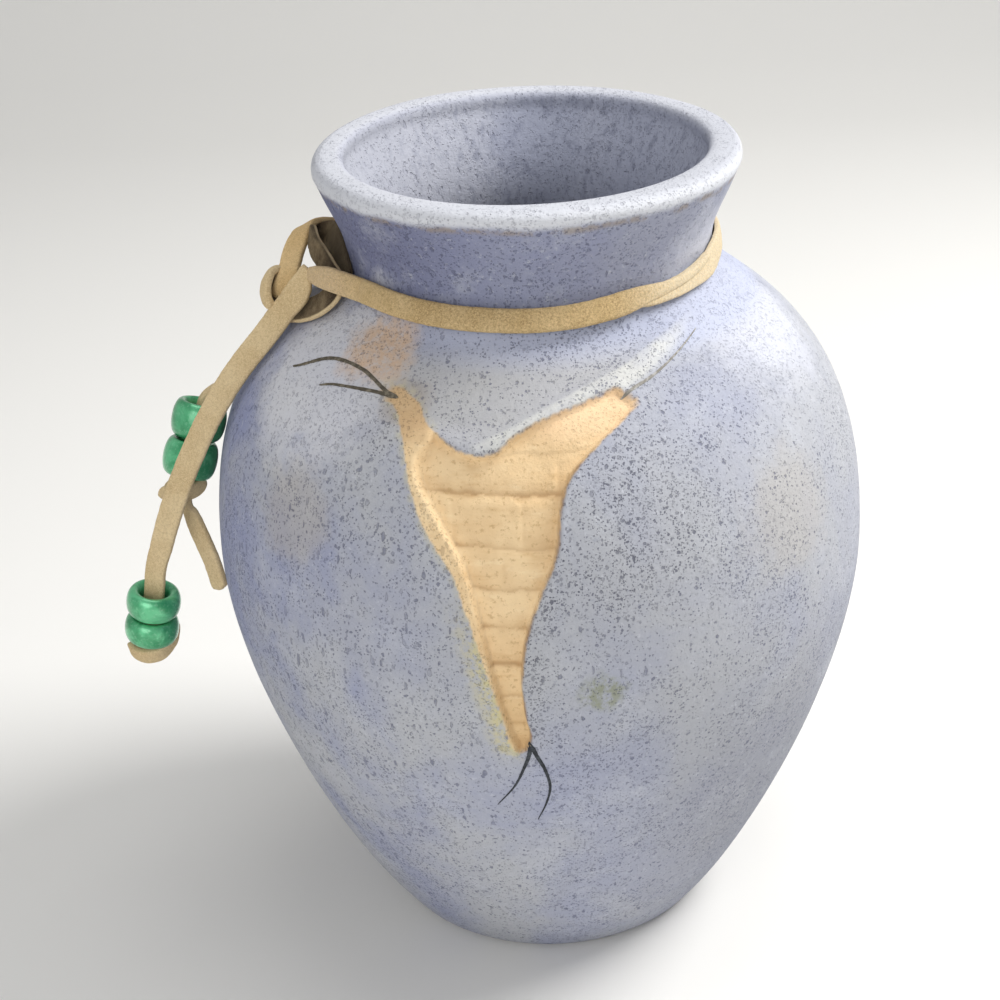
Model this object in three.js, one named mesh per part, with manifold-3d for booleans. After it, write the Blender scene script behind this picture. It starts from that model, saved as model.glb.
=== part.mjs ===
// A hand-finished pottery vase with a broken-plaster patch carved in its front,
// and a suede lace with green beads tied round its neck.
// Millimetres, +Z up, origin at the middle of the foot, front towards -Y.
import * as THREE from 'three';
import * as BufferGeometryUtils from 'three/addons/utils/BufferGeometryUtils.js';
import Module from 'manifold-3d';

// Vase outline
const MOUTH_HEIGHT = 12.9;
const LIP_CROWN = 2.3;
const LIP_SQUARENESS = 0.6;
const MOUTH_RADIUS = 33.4;
const MOUTH_WALL = 4.9;
const NECK_RADIUS = 28.7;
const NECK_HEIGHT = 117.3;
const BELLY_RADIUS = 53;
const BELLY_HEIGHT = 68;
const FOOT_RADIUS = 27;
const FOOT_ROUND = 2;
const WALL = 4.8;
const FLOOR = 6;
const LIP_HEIGHT = NECK_HEIGHT + MOUTH_HEIGHT;

// How strongly each curve of the outline leaves its end, along its tangent
const FOOT_SWELL = 17.8;
const BELLY_SWELL_DOWN = 19;
const BELLY_SWELL_UP = 41;
const NECK_SWELL_DOWN = 10.4;
const NECK_SWELL_UP = 4.5;
const MOUTH_SWELL = 5;
const FOOT_LEAN_DEG = 52.5;
const MOUTH_LEAN_DEG = 71.5;

// The mouth was shaped by hand: a little oval, and higher at the back
const MOUTH_OVAL_RATIO = 0.014;
const MOUTH_RISE = 0.5;

// Patch of broken plaster over courses of brick
const PATCH_DEPTH = 1.7;
const JOINT_DEPTH = 0.6;
const JOINT_WIDTH = 0.9;
const COURSE = 6.2;
const BRICK = 10.2;
const TOP_JOINT = 94.9;
const COURSES_BELOW = 6;
const COURSES_ABOVE = 2;
const BRICK_SHIFT = 3.1;
const PATCH_OUTLINE = [
  [-22, 105.5], [-18.5, 106.2], [-15.2, 103.4], [-11.5, 100.3], [-7, 99.3], [-3, 101.8],
  [2.5, 103.8], [8, 105.4], [12, 106.4], [15, 104.2], [10, 101], [5.5, 98], [3.5, 93],
  [2.2, 87], [0.2, 81], [-2.2, 75.5], [-3.2, 67], [-2.3, 57.5], [-3.6, 54.2], [-5.6, 58],
  [-8.2, 66.5], [-10.2, 75.5], [-13, 84], [-17, 91], [-18.7, 98], [-20, 103.8],
];

// Suede lace
const LACE_WIDTH = 4;
const LACE_THICKNESS = 1.3;
const LACE_CORNER = 0.35;
const LACE_WIDTH_IN_BEAD = 3.3;
const BAND_BELOW_NECK = 2.1;
const BAND_START_DEG = 209;
const BAND_END_DEG = 511;
const CLEARANCE = 0.35;

// Pony beads
const BEAD_DIAMETER = 9;
const BEAD_BORE = 4.3;
const FRONT_BEAD_LENGTH = 4.6;
const REAR_BEAD_LENGTH = 6.1;

// Facets
const VASE_SIDES = 64;
const BEAD_SIDES = 24;
const BEAD_RING_POINTS = 12;
const CURVE_STEPS = 9;
const LIP_STEPS = 5;
const BAND_STEPS = 52;

const wasm = await Module();
wasm.setup();

const pottery = new THREE.MeshStandardMaterial({ color: '#a2a6b6', roughness: 0.9, metalness: 0 });
const suede = new THREE.MeshStandardMaterial({ color: '#c9b189', roughness: 0.95, metalness: 0 });
const pearlGreen = new THREE.MeshStandardMaterial({ color: '#2f9a62', roughness: 0.3, metalness: 0.1 });

const UP = new THREE.Vector3(0, 0, 1);
const DEG = Math.PI / 180;

// Solids and booleans

function weld(geometry) {
  const bare = geometry.clone();
  bare.deleteAttribute('normal');
  bare.deleteAttribute('uv');
  const welded = BufferGeometryUtils.mergeVertices(bare, 1e-4);
  const corners = welded.index.array;
  const kept = [];
  for (let i = 0; i < corners.length; i += 3) {
    const [a, b, c] = [corners[i], corners[i + 1], corners[i + 2]];
    if (a !== b && b !== c && c !== a) kept.push(a, b, c);
  }
  welded.setIndex(kept);
  return welded;
}

function toSolid(geometry) {
  const welded = weld(geometry);
  return new wasm.Manifold(new wasm.Mesh({
    numProp: 3,
    vertProperties: Float32Array.from(welded.attributes.position.array),
    triVerts: Uint32Array.from(welded.index.array),
  }));
}

function toGeometry(solid) {
  const mesh = solid.getMesh();
  const geometry = new THREE.BufferGeometry();
  geometry.setAttribute('position', new THREE.BufferAttribute(mesh.vertProperties, 3));
  geometry.setIndex(new THREE.BufferAttribute(mesh.triVerts, 1));
  geometry.computeVertexNormals();
  return geometry;
}

// Turns a profile of (radius, height) points into a solid round the Z axis
function turned(profile, sides = VASE_SIDES) {
  return new THREE.LatheGeometry(profile, sides).rotateX(Math.PI / 2);
}

// Vase outline and the curves offset from it

function tangent(degrees, length) {
  return new THREE.Vector2(Math.cos(degrees * DEG), Math.sin(degrees * DEG)).multiplyScalar(length);
}

function outerOutline() {
  const foot = new THREE.Vector2(FOOT_RADIUS + FOOT_ROUND * 0.6, FOOT_ROUND);
  const mouth = new THREE.Vector2(MOUTH_RADIUS, LIP_HEIGHT);
  const leavingFoot = foot.clone().add(tangent(FOOT_LEAN_DEG, FOOT_SWELL));
  const reachingMouth = mouth.clone().sub(tangent(MOUTH_LEAN_DEG, MOUTH_SWELL));
  const outline = new THREE.Path();
  outline.moveTo(FOOT_RADIUS - FOOT_ROUND, 0);
  outline.quadraticCurveTo(FOOT_RADIUS, 0, foot.x, foot.y);
  outline.bezierCurveTo(leavingFoot.x, leavingFoot.y,
    BELLY_RADIUS, BELLY_HEIGHT - BELLY_SWELL_DOWN, BELLY_RADIUS, BELLY_HEIGHT);
  outline.bezierCurveTo(BELLY_RADIUS, BELLY_HEIGHT + BELLY_SWELL_UP,
    NECK_RADIUS, NECK_HEIGHT - NECK_SWELL_DOWN, NECK_RADIUS, NECK_HEIGHT);
  outline.bezierCurveTo(NECK_RADIUS, NECK_HEIGHT + NECK_SWELL_UP,
    reachingMouth.x, reachingMouth.y, mouth.x, mouth.y);
  return outline;
}

// Moves each point of an outline sideways, inwards where distance is positive
function offset(points, distance) {
  return points.map((point, i) => {
    const before = points[Math.max(i - 1, 0)];
    const after = points[Math.min(i + 1, points.length - 1)];
    const along = after.clone().sub(before).normalize();
    return new THREE.Vector2(point.x - along.y * distance, point.y + along.x * distance);
  });
}

const outline = outerOutline().getPoints(CURVE_STEPS);
const fineOutline = outerOutline().getPoints(CURVE_STEPS * 6);

function surfaceAt(height) {
  const i = fineOutline.findIndex((point, k) => k > 0 && point.y >= height);
  const [low, high] = [fineOutline[i - 1], fineOutline[i]];
  const along = high.clone().sub(low).normalize();
  const radius = low.x + (high.x - low.x) * (height - low.y) / (high.y - low.y);
  return { point: new THREE.Vector2(radius, height), normal: new THREE.Vector2(along.y, -along.x) };
}

// A place round the vase by an angle, at a height on its outline and off its surface
function offVase([degrees, height, off]) {
  const { point, normal } = surfaceAt(height);
  const place = point.addScaledVector(normal, off);
  const angle = degrees * DEG;
  return new THREE.Vector3(place.x * Math.cos(angle), place.x * Math.sin(angle), place.y);
}

// A place for the lace: round the vase by an angle, at a share of the way up from its belly to its neck,
// and off its surface by so many lace thicknesses, or a length more
function laceAt([degrees, share, thicknesses], more = 0) {
  const height = BELLY_HEIGHT + (NECK_HEIGHT - BELLY_HEIGHT) * share;
  return offVase([degrees, height, LACE_THICKNESS * thicknesses + more]);
}

// Rises of the mouth towards the back, and its oval, both growing from the neck up
function shapeMouth(geometry) {
  const position = geometry.attributes.position;
  for (let i = 0; i < position.count; i++) {
    const [x, y, z] = [position.getX(i), position.getY(i), position.getZ(i)];
    const rise = Math.max(z - NECK_HEIGHT, 0) / (LIP_HEIGHT - NECK_HEIGHT);
    const grown = rise * rise;
    position.setXYZ(i, x * (1 - MOUTH_OVAL_RATIO * grown), y * (1 + MOUTH_OVAL_RATIO * grown),
      z + MOUTH_RISE * grown * y / MOUTH_RADIUS);
  }
  return geometry;
}

// The lip has a flat top with rounded edges, half of a squared ellipse
function lipCrown() {
  const middle = MOUTH_RADIUS - MOUTH_WALL / 2;
  const crown = [];
  for (let i = 1; i < LIP_STEPS; i++) {
    const angle = Math.PI * i / LIP_STEPS;
    const across = Math.sign(Math.cos(angle)) * Math.abs(Math.cos(angle)) ** LIP_SQUARENESS;
    const up = Math.sin(angle) ** LIP_SQUARENESS;
    crown.push(new THREE.Vector2(middle + across * MOUTH_WALL / 2, LIP_HEIGHT + up * LIP_CROWN));
  }
  return [...crown, new THREE.Vector2(MOUTH_RADIUS - MOUTH_WALL, LIP_HEIGHT)];
}

function shellProfile() {
  const [lowest, highest] = [FLOOR + WALL, LIP_HEIGHT - WALL];
  const hollow = offset(outline, WALL).filter((point) => point.y > lowest && point.y < highest);
  const inside = hollow.filter((point, i) => i % (point.y > BELLY_HEIGHT ? 2 : 3) === 0);
  const low = inside[0];
  const cup = new THREE.Path();
  cup.moveTo(low.x, low.y);
  cup.quadraticCurveTo(low.x - (low.y - FLOOR), FLOOR, low.x - (low.y - FLOOR) * 2, FLOOR);
  const profile = [new THREE.Vector2(0, 0), ...outline, ...lipCrown(), ...inside.reverse()];
  profile.push(...cup.getPoints(3).slice(1), new THREE.Vector2(0, FLOOR));
  return profile;
}

// The carved patch: its outline cut from the front, down to a floor of bricks

function patchOutline() {
  const points = PATCH_OUTLINE.map(([x, z]) => new THREE.Vector3(x, z, 0));
  const edge = new THREE.CatmullRomCurve3(points, true);
  return new THREE.Shape(edge.getPoints(points.length * 2).map((p) => new THREE.Vector2(p.x, p.y)));
}

// A solid of the vase's outline, sunk by a depth, over the heights of the patch
function sunkCore(depth) {
  const heights = PATCH_OUTLINE.map(([, z]) => z);
  const [low, high] = [Math.min(...heights) - COURSE, Math.max(...heights) + COURSE];
  const sunk = offset(fineOutline, depth).filter((point) => point.y > low && point.y < high);
  const thinned = sunk.filter((point, i) => i % 4 === 0);
  return toSolid(turned([new THREE.Vector2(0, thinned[0].y), ...thinned,
    new THREE.Vector2(0, thinned[thinned.length - 1].y)]));
}

function brickwork() {
  const boxes = [];
  for (let row = -COURSES_BELOW; row < COURSES_ABOVE; row++) {
    const middle = TOP_JOINT + COURSE * (row + 0.5);
    const shift = BRICK_SHIFT + (row % 2 === 0 ? 0 : BRICK / 2);
    for (let column = -2; column <= 1; column++) {
      const brick = new THREE.BoxGeometry(BRICK - JOINT_WIDTH, BELLY_RADIUS, COURSE - JOINT_WIDTH);
      brick.translate(shift + BRICK * column, -BELLY_RADIUS / 2 - BRICK, middle);
      boxes.push(toSolid(brick));
    }
  }
  return boxes.reduce((all, box) => all.add(box));
}

function patchCutter() {
  const reach = BELLY_RADIUS + WALL;
  const punch = new THREE.ExtrudeGeometry(patchOutline(), { depth: reach, bevelEnabled: false, steps: 1 });
  const cutter = toSolid(punch.rotateX(Math.PI / 2));
  const mortar = sunkCore(PATCH_DEPTH + JOINT_DEPTH);
  const bricks = sunkCore(PATCH_DEPTH).intersect(brickwork());
  return cutter.subtract(mortar).subtract(bricks);
}

function vaseBody() {
  const shell = toSolid(shapeMouth(turned(shellProfile())));
  return toGeometry(shell.subtract(patchCutter()));
}

// Lace: a flat strip swept along a route, with its face turned as the real one lies

class LaceRoute extends THREE.CatmullRomCurve3 {
  constructor(points, faces, widths = [1]) {
    super(points);
    this.faces = faces.map((f) => new THREE.Vector3(...f).normalize());
    this.widths = widths;
  }

  between(list, u, mix) {
    const place = u * (list.length - 1);
    const i = Math.min(Math.floor(place), Math.max(list.length - 2, 0));
    return mix(list[i], list[Math.min(i + 1, list.length - 1)], place - i);
  }

  // Normals follow the lace's face, and the binormals' length sets its width
  computeFrenetFrames(segments) {
    const frames = { tangents: [], normals: [], binormals: [] };
    for (let i = 0; i <= segments; i++) {
      const u = i / segments;
      const along = this.getTangentAt(u);
      const face = this.between(this.faces, u, (a, b, t) => a.clone().lerp(b, t));
      face.addScaledVector(along, -face.dot(along)).normalize();
      const width = this.between(this.widths, u, (a, b, t) => a + (b - a) * t);
      frames.tangents.push(along);
      frames.normals.push(face);
      frames.binormals.push(along.clone().cross(face).multiplyScalar(width));
    }
    return frames;
  }

  // The same route, running past both its ends
  longer(reach) {
    const points = this.points.map((point) => point.clone());
    points[0].addScaledVector(this.getTangentAt(0), -reach);
    points[points.length - 1].addScaledVector(this.getTangentAt(1), reach);
    return new LaceRoute(points, this.faces, this.widths);
  }
}

function laceSection(grow = 0) {
  const [x, y] = [LACE_THICKNESS / 2 + grow, LACE_WIDTH / 2 + grow];
  const section = new THREE.Shape();
  section.moveTo(x, y - LACE_CORNER);
  section.lineTo(x - LACE_CORNER, y);
  section.lineTo(-x + LACE_CORNER, y);
  section.lineTo(-x, y - LACE_CORNER);
  section.lineTo(-x, -y + LACE_CORNER);
  section.lineTo(-x + LACE_CORNER, -y);
  section.lineTo(x - LACE_CORNER, -y);
  section.lineTo(x, -y + LACE_CORNER);
  section.closePath();
  return section;
}

function lace(route, steps, grow = 0) {
  return new THREE.ExtrudeGeometry(laceSection(grow), { steps, extrudePath: route, curveSegments: 1 });
}

// The loop round the neck lies a clearance off the hollow of its outline
const BAND_HEIGHT = NECK_HEIGHT - BAND_BELOW_NECK;
const LYING = CLEARANCE + LACE_THICKNESS / 2;
const bandSeat = surfaceAt(BAND_HEIGHT);
const underBand = fineOutline.filter((point) => Math.abs(point.y - BAND_HEIGHT) < LACE_WIDTH / 2);
const bandRises = underBand.map((point) => point.clone().sub(bandSeat.point).dot(bandSeat.normal));
const BAND_OFF = LYING + Math.max(...bandRises);

// Its front end leaves the neck and comes up under the front tail
const BAND_LEAD = [
  [191.5, 0.8945, 3.385], [195.1, 0.9189, 2.923], [200.7, 0.9473, 2.308],
].map((place) => laceAt(place));
const BAND_LEAD_FACES = [[-0.35, -0.85, 0.4], [-0.4, -0.9, 0.3], [-0.6, -0.8, 0.3]];
const BAND_LEAD_TAPER = [0.3, 0.55, 0.85];

function bandRoute(fromDeg, toDeg, count) {
  const points = [...BAND_LEAD];
  const faces = [...BAND_LEAD_FACES];
  const widths = [...BAND_LEAD_TAPER];
  for (let i = 0; i <= count; i++) {
    const degrees = fromDeg + (toDeg - fromDeg) * i / count;
    const across = bandSeat.normal.x;
    points.push(offVase([degrees, BAND_HEIGHT, BAND_OFF]));
    faces.push([across * Math.cos(degrees * DEG), across * Math.sin(degrees * DEG), bandSeat.normal.y]);
    widths.push(1);
  }
  return new LaceRoute(points, faces, widths);
}

// Routes of the free tails, from the knot to their ends
const FRONT_FACE = [-0.15, -0.9, 0.42];
const FRONT_TAIL = [
  [193.2, 0.8884, 4.846], [193.6, 0.8661, 4.538], [193.7, 0.8296, 3.538], [193.5, 0.7951, 2.692],
  [192.7, 0.7282, 2], [191.9, 0.6613, 1.923], [191.2, 0.5781, 2.154], [190.7, 0.4706, 2.769],
  [190.3, 0.3529, 3.769], [189.8, 0.2414, 5], [189.4, 0.1258, 6.385], [189.1, 0.0406, 7.462],
].map((place) => laceAt(place));
const REAR_FACE = [-0.7, 0, 0.7];
const REAR_TAIL = [
  [175.6, 0.7769, 0.462], [175.8, 0.7424, 0.077], [176.1, 0.6734, 0], [176.4, 0.6004, 0],
  [176.7, 0.5396, 0.385], [177.1, 0.4868, 1.308],
].map((place) => laceAt(place, LYING));

// Straight stretches that the beads are threaded on, the rear pair leaning on the vase
const FRONT_HANG = { from: laceAt([188.8, -0.0264, 8.462]), to: laceAt([187.9, -0.2454, 11.538]) };
const BEAD_LEAN = BEAD_DIAMETER / 2 + CLEARANCE;
const REAR_HANG = {
  from: laceAt([177.5, 0.4402, -0.077], BEAD_LEAN),
  to: laceAt([182.4, 0.2191, 0.538], BEAD_LEAN),
};

// Where the beads sit on their straight stretch, counted up from its end
const bead = {
  front_bead_lower: { hang: FRONT_HANG, length: FRONT_BEAD_LENGTH, rank: 0 },
  front_bead_upper: { hang: FRONT_HANG, length: FRONT_BEAD_LENGTH, rank: 1 },
  rear_bead_lower: { hang: REAR_HANG, length: REAR_BEAD_LENGTH, rank: 0 },
  rear_bead_upper: { hang: REAR_HANG, length: REAR_BEAD_LENGTH, rank: 1 },
};

function hangAxis(hang) {
  return hang.from.clone().sub(hang.to).normalize();
}

function beadProfile(length, grow) {
  const middle = (BEAD_DIAMETER + BEAD_BORE) / 4;
  const thickness = (BEAD_DIAMETER - BEAD_BORE) / 4 + grow;
  const ring = new THREE.Path();
  ring.absellipse(middle, 0, thickness, length / 2 + grow, 0, 2 * Math.PI, false, 0);
  return ring.getSpacedPoints(BEAD_RING_POINTS);
}

// A bead's solid where it sits, grown where something has to keep clear of it
function beadSolid({ hang, length, rank }, grow = 0) {
  const shape = turned(beadProfile(length, grow), BEAD_SIDES);
  const axis = hangAxis(hang);
  const place = hang.to.clone().addScaledVector(axis, length / 2 + (length + CLEARANCE) * rank);
  shape.applyQuaternion(new THREE.Quaternion().setFromUnitVectors(UP, axis));
  return toSolid(shape.translate(place.x, place.y, place.z));
}

function tailRoute(points, hang, face, pinchFrom) {
  const straight = [0, 0.25, 0.5, 0.75, 1].map((share) => hang.from.clone().lerp(hang.to, share));
  const pinch = LACE_WIDTH_IN_BEAD / LACE_WIDTH;
  const widths = Array.from({ length: 21 }, (unused, i) => (
    1 + (pinch - 1) * THREE.MathUtils.smoothstep(i / 20, pinchFrom - 0.15, pinchFrom)
  ));
  return new LaceRoute([...points, ...straight], [face], widths);
}

// The knot: a strand arched over its top, and a loop that comes back under it
const ARCH = {
  points: [
    [158.1, 0.9635, 2.538], [163.9, 1.0264, 2.769], [169.5, 1.069, 3.077], [175, 1.0832, 3.923],
    [179.2, 1.0629, 5.077], [183.1, 0.8884, 5.769], [185.7, 0.8499, 5.308], [187.2, 0.8154, 5.154],
    [185.2, 0.7809, 4.154], [182.1, 0.7647, 2.692],
  ].map((place) => laceAt(place)),
  faces: [
    [-0.9, 0.3, 0.5], [-0.4, -0.2, 0.9], [-0.4, -0.7, 0.5],
    [-0.3, -0.85, 0.4], [-0.6, -0.7, 0.3], [-0.9, 0, 0],
  ],
};
const UNDERPASS = {
  points: [
    [182.9, 0.785, 1.923], [190.8, 0.8174, 1.769], [197.3, 0.8499, 1.769], [201, 0.8824, 1.846],
    [201.3, 0.9229, 1.615], [197.2, 0.9594, 1.077], [192.6, 0.9817, 0.846], [185.7, 1.0142, 1.154],
    [178.2, 1.0345, 2], [171.3, 1.0406, 3.385],
  ].map((place) => laceAt(place)),
  faces: [[-0.6, -0.7, 0], [-0.5, -0.85, 0.1], [-0.9, -0.4, 0.3], [-0.7, -0.65, 0.3], [-0.75, -0.5, 0.45]],
};
const KNOT_CORE = { at: laceAt([183.9, 0.8174, 2.923]), size: [0.8, 0.9, 0.9] };

// A lump of knotted lace, with its half sizes in lace widths
function ellipsoid({ at, size }, widthSegments = 14, heightSegments = 9) {
  const ball = new THREE.SphereGeometry(LACE_WIDTH, widthSegments, heightSegments).scale(...size);
  return toSolid(ball.translate(at.x, at.y, at.z));
}

function strand({ points, faces }, steps) {
  return toSolid(lace(new LaceRoute(points, faces), steps));
}

// The space that a lace and its clearance take up
function near(route, steps) {
  return toSolid(lace(route.longer(CLEARANCE), steps, CLEARANCE));
}

const frontTailRoute = tailRoute(FRONT_TAIL, FRONT_HANG, FRONT_FACE, 0.74);
const rearTailRoute = tailRoute(REAR_TAIL, REAR_HANG, REAR_FACE, 0.55);
const bandLoop = bandRoute(BAND_START_DEG, BAND_END_DEG, 48);
const nearFrontTail = near(frontTailRoute, 28);
const nearRearTail = near(rearTailRoute, 20);
const nearBand = near(bandLoop, BAND_STEPS);

// The vase's outside, a clearance larger
function nearVase() {
  const skin = offset(outline, -CLEARANCE);
  const top = skin[skin.length - 1];
  return toSolid(turned([new THREE.Vector2(0, skin[0].y), ...skin, new THREE.Vector2(0, top.y)]));
}

function neckLace() {
  return toGeometry(toSolid(lace(bandLoop, BAND_STEPS)).subtract(nearFrontTail));
}

function laceKnot() {
  const whole = strand(ARCH, 20).add(strand(UNDERPASS, 18)).add(ellipsoid(KNOT_CORE));
  const cut = whole.subtract(nearVase()).subtract(nearBand);
  return toGeometry(cut.subtract(nearFrontTail).subtract(nearRearTail));
}

// Stopper knots under the beads, with the flaps that stick out of them
function belowHang(hang, distance, side = [0, 0, 0]) {
  return hang.to.clone().addScaledVector(hangAxis(hang), -distance).add(new THREE.Vector3(...side));
}

// A flap's points: how far below the beads and how far aside, in lace widths
function flapPoints(hang, places) {
  return places.map(([down, side]) => belowHang(hang, down * LACE_WIDTH, side.map((v) => v * LACE_WIDTH)));
}

function stopper(size, flap, lowerBead, nearTail) {
  const ball = ellipsoid({ at: belowHang(lowerBead.hang, size[2] * LACE_WIDTH + CLEARANCE), size });
  const whole = ball.add(strand(flap, 8));
  return whole.subtract(beadSolid(lowerBead, CLEARANCE)).subtract(nearTail);
}

const FRONT_STOPPER = [0.825, 0.65, 0.425];
const FRONT_FLAP = {
  points: flapPoints(FRONT_HANG, [
    [0.45, [-0.4, -0.1, 0]], [0.525, [0.35, -0.1, 0.05]], [0.35, [0.825, 0, 0.1]], [0.05, [1.125, 0.1, 0.3]],
  ]),
  faces: [[0, -0.3, -0.95], [0.5, -0.3, -0.8], [0.95, -0.2, -0.3]],
};
const REAR_STOPPER = [0.725, 0.6, 0.475];
const REAR_FLAP = {
  points: flapPoints(REAR_HANG, [
    [0.625, [-0.9, -0.2, 0.05]], [0.625, [-0.375, -0.15, -0.05]], [0.65, [0.375, -0.1, 0.05]],
    [0.575, [0.85, 0, 0.25]],
  ]),
  faces: [[-0.2, -0.8, -0.5], [0, -0.7, -0.7], [0.2, -0.8, -0.5]],
};

// What is left of the lace past the rear knot, hanging against the vase
const REAR_END = {
  points: [
    [184, 0.14, 4.154], [184.5, 0.1055, 3.769], [185.6, 0.0527, 3.077], [187.9, -0.0345, 1.923],
    [190.2, -0.1278, 1.231],
  ].map((place) => laceAt(place)),
  faces: [[-0.9, -0.35, 0.3], [-0.9, -0.3, 0.3]],
};

const rearStopper = stopper(REAR_STOPPER, REAR_FLAP, bead.rear_bead_lower, nearRearTail);
const frontStopper = stopper(FRONT_STOPPER, FRONT_FLAP, bead.front_bead_lower, nearFrontTail);
const nearRearEnd = near(new LaceRoute(REAR_END.points, REAR_END.faces), 10);

// The assembly

const model = new THREE.Group();

function add(name, geometry, material) {
  const mesh = new THREE.Mesh(geometry, material);
  mesh.name = name;
  model.add(mesh);
  return mesh;
}

add('vase_body', vaseBody(), pottery);
add('neck_lace', neckLace(), suede);
add('lace_knot', laceKnot(), suede);
add('front_tail', lace(frontTailRoute, 28), suede);
add('rear_tail', lace(rearTailRoute, 20), suede);
for (const [name, place] of Object.entries(bead)) {
  add(name, toGeometry(beadSolid(place)), pearlGreen);
}
add('front_end_knot', toGeometry(frontStopper), suede);
add('rear_end_knot', toGeometry(rearStopper.subtract(nearRearEnd)), suede);
add('rear_lace_end', toGeometry(strand(REAR_END, 10)), suede);

export default model;
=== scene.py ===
# Looks of a pottery vase with a beaded suede lace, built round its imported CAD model.
# Sizes are in millimetres where they are worked out, and in metres in every mesh.
import math

import bpy
import numpy as np
from mathutils import Matrix, Vector, noise


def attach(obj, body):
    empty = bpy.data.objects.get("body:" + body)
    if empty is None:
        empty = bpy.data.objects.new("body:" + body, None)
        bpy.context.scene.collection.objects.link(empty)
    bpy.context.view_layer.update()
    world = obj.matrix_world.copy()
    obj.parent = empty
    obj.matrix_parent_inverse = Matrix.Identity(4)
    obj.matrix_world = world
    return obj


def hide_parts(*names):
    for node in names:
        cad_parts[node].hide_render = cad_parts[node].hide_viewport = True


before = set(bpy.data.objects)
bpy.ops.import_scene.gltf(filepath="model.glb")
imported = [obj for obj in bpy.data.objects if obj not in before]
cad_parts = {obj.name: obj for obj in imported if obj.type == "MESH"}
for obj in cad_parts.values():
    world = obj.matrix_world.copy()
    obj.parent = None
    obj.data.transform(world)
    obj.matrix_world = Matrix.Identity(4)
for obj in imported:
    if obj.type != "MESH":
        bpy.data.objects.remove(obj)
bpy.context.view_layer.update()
MM = 0.001


# Camera, at the photograph's angle: 25.5 degrees above the vase's foot

CAMERA_PLACE = (0, -301.42, 215.36)
CAMERA_RIGHT = (0.9991, 0.0011, -0.0424)
CAMERA_FORWARD = (-0.0193, 0.9025, -0.4302)


def add_camera():
    data = bpy.data.cameras.new("camera")
    data.lens, data.sensor_width = 72, 36
    data.clip_start = 0.01
    camera = bpy.data.objects.new("camera", data)
    forward = Vector(CAMERA_FORWARD).normalized()
    up = Vector(CAMERA_RIGHT).normalized().cross(forward).normalized()
    turn = Matrix((forward.cross(up), up, -forward)).transposed().to_4x4()
    camera.matrix_world = Matrix.Translation(Vector(CAMERA_PLACE) * MM) @ turn
    bpy.context.scene.collection.objects.link(camera)
    bpy.context.scene.camera = camera


add_camera()


# Sizes, with the same values as the model's

LIP_HEIGHT, LIP_CROWN, LIP_SQUARENESS = 130.2, 2.3, 0.6
MOUTH_RADIUS, MOUTH_WALL = 33.4, 4.9
NECK_RADIUS, NECK_HEIGHT = 28.7, 117.3
BELLY_RADIUS, BELLY_HEIGHT = 53.0, 68.0
FOOT_RADIUS, FOOT_ROUND = 27.0, 2.0
FOOT_LEAN, FOOT_SWELL = 52.5, 17.8
BELLY_SWELL_DOWN, BELLY_SWELL_UP = 19.0, 41.0
NECK_SWELL_DOWN, NECK_SWELL_UP = 10.4, 4.5
MOUTH_LEAN, MOUTH_SWELL = 71.5, 5.0
WALL, FLOOR = 4.8, 6.0
MOUTH_OVAL, MOUTH_RISE = 0.014, 0.5
PATCH_DEPTH = 1.7
CLEARANCE = 0.35
LACE_WIDTH, LACE_THICKNESS = 4.0, 1.3
BEAD_RADIUS, BORE_RADIUS = 4.5, 2.15
FRONT_BEAD_LENGTH, REAR_BEAD_LENGTH = 4.6, 6.1

# Sizes of the look alone
WORN_DEPTH = 0.82    # share of the recess that its worn floor keeps
HOLLOW_DEPTH = 0.75
CREST_HEIGHT = 0.3
LIP_SWELL, LIP_SWELL_HEIGHT = 0.28, 130.9


# Vase outline

def bezier(points, count=400):
    """A curve from the first point to the last, drawn towards those between them."""
    t = np.linspace(0, 1, count)[:, None]
    while len(points) > 1:
        points = [a + (b - a) * t for a, b in zip(points, points[1:])]
    return points[0]


def tangent(degrees, length):
    return np.array([math.cos(math.radians(degrees)), math.sin(math.radians(degrees))]) * length


def outer_outline():
    base = np.array([FOOT_RADIUS - FOOT_ROUND, 0.0])
    foot = np.array([FOOT_RADIUS + FOOT_ROUND * 0.6, FOOT_ROUND])
    belly = np.array([BELLY_RADIUS, BELLY_HEIGHT])
    neck = np.array([NECK_RADIUS, NECK_HEIGHT])
    mouth = np.array([MOUTH_RADIUS, LIP_HEIGHT])
    parts = [
        bezier([base, np.array([FOOT_RADIUS, 0.0]), foot]),
        bezier([foot, foot + tangent(FOOT_LEAN, FOOT_SWELL), belly - [0, BELLY_SWELL_DOWN], belly]),
        bezier([belly, belly + [0, BELLY_SWELL_UP], neck - [0, NECK_SWELL_DOWN], neck]),
        bezier([neck, neck + [0, NECK_SWELL_UP], mouth - tangent(MOUTH_LEAN, MOUTH_SWELL), mouth]),
    ]
    return np.concatenate([parts[0]] + [p[1:] for p in parts[1:]])


OUTLINE = outer_outline()


def normals_of(line):
    along = np.gradient(line, axis=0)
    along /= np.linalg.norm(along, axis=1)[:, None]
    return np.column_stack([along[:, 1], -along[:, 0]])


OUTLINE_NORMALS = normals_of(OUTLINE)


def on_outline(height):
    """The vase's radius at a height, and how far its surface faces outwards and upwards there."""
    return [np.interp(height, OUTLINE[:, 1], values) for values in (OUTLINE[:, 0], *OUTLINE_NORMALS.T)]


def off_vase(place):
    """A place round the vase by an angle, at a height on its outline and off its surface."""
    degrees, height, off = place
    radius, outwards, upwards = on_outline(height)
    return np.array([*tangent(degrees, radius + outwards * off), height + upwards * off])


# Mesh helpers

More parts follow.
